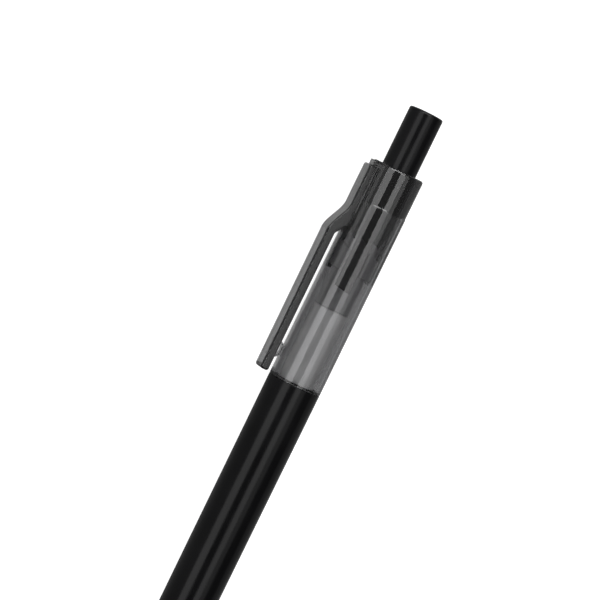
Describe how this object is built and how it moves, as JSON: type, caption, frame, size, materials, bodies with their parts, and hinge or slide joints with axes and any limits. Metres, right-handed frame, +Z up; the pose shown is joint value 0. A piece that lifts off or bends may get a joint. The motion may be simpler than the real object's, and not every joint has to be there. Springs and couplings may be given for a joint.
{
  "type": "gel pen",
  "caption": "Retractable gel pen with a smoky translucent upper barrel and cranked clip, black round knock button, black lower barrel and spring-loaded refill.",
  "frame": {"origin": "on the surface the pen lies on, below the middle of its bounding box", "axes": "+X from the button to the writing point, along the pen; -Y towards the clip; +Z up"},
  "size_m": [0.142, 0.013, 0.01],
  "materials": {
    "smoke_plastic": "polished translucent smoky polycarbonate",
    "smoke_clip": "polished translucent smoky polycarbonate",
    "gloss_black": "glossy black ABS",
    "dark_grey": "dark grey acetal",
    "satin_black": "satin black ABS",
    "cone_black": "satin black ABS",
    "frosted_tube": "frosted translucent polypropylene",
    "gel_ink": "wet black gel ink",
    "follower_grease": "clear grease",
    "holder_plastic": "natural white polypropylene",
    "tip_steel": "turned stainless steel",
    "carbide": "polished tungsten carbide",
    "spring_steel": "drawn spring wire"
  },
  "bodies": {
    "barrel": {"upper_barrel": "smoke_plastic", "lower_barrel": "satin_black", "nose_cone": "cone_black", "return_spring": "spring_steel"},
    "clip": {"pocket_clip": "smoke_clip"},
    "knock": {"push_button": "gloss_black"},
    "refill": {"cam_rotor": "dark_grey", "refill_tube": "frosted_tube", "ink_column": "gel_ink", "ink_follower": "follower_grease", "tip_holder": "holder_plastic", "writing_tip": "tip_steel", "tip_ball": "carbide", "ball_spring": "spring_steel"}
  },
  "joints": [
    {"name": "knock_slide", "type": "slide", "parent": "barrel", "child": "knock", "axis": [1, 0, 0], "range_m": [0, 0.0065], "stiffness_N_per_m": 250, "springref_m": -0.004},
    {"name": "refill_slide", "type": "slide", "parent": "barrel", "child": "refill", "axis": [1, 0, 0], "range_m": [0, 0.0065], "deforming": ["return_spring"]},
    {"name": "clip_flex", "type": "hinge", "parent": "barrel", "child": "clip", "pos_m": [-0.0592, -0.00223, 0.00325], "axis": [0, 0.4226, -0.9063], "range_deg": [0, 3.5], "stiffness_Nm_per_rad": 2.8, "springref_deg": -0.57}
  ],
  "couplings": [
    {"joint": "refill_slide", "follows": "knock_slide", "ratio": 1}
  ]
}
